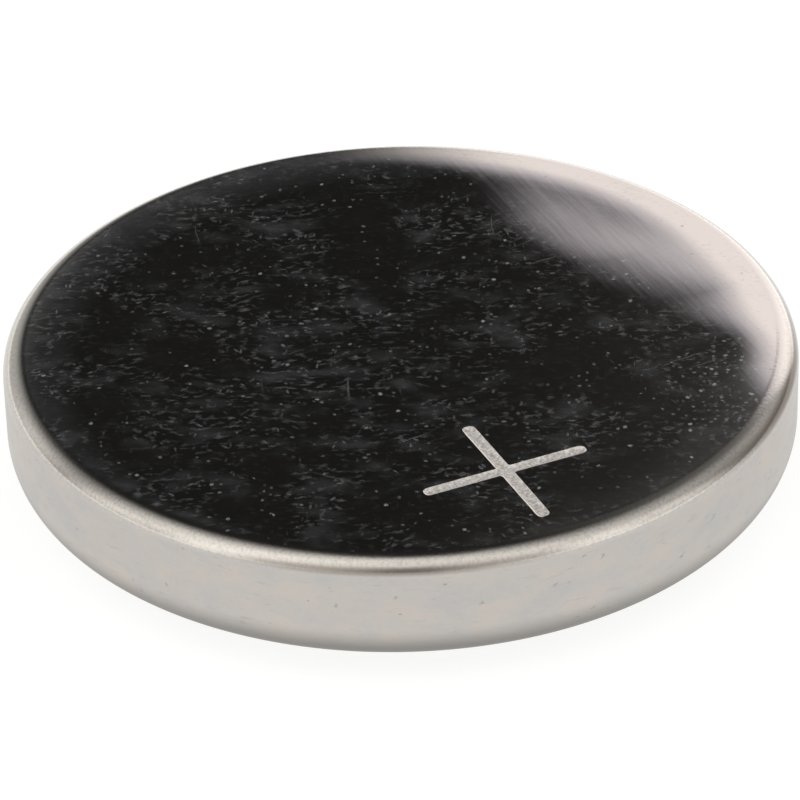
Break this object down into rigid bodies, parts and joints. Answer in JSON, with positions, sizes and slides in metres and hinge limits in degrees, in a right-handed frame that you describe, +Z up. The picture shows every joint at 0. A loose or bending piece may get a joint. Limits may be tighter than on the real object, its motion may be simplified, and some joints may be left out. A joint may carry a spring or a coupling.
{
  "type": "lithium coin cell",
  "caption": "Flat round lithium cell: a steel can rolled over a sealing gasket and a stepped cap, with its lithium, separator and cathode stacked inside.",
  "frame": {"origin": "centre of the flat negative face, which the cell lies on", "axes": "+Z up the cell's axis, out of the positive face; +X along the reading direction of the plus sign"},
  "size_m": [0.016, 0.016, 0.0032],
  "materials": {
    "can_steel": "polished",
    "gasket_plastic": "satin",
    "cap_steel": "satin",
    "lithium": "matte",
    "separator_film": "matte",
    "pressed_oxide": "matte",
    "ring_steel": "satin"
  },
  "bodies": {
    "root": {"can": "can_steel", "gasket": "gasket_plastic", "cap": "cap_steel", "lithium_anode": "lithium", "separator": "separator_film", "cathode_pellet": "pressed_oxide", "cathode_ring": "ring_steel"}
  },
  "joints": []
}
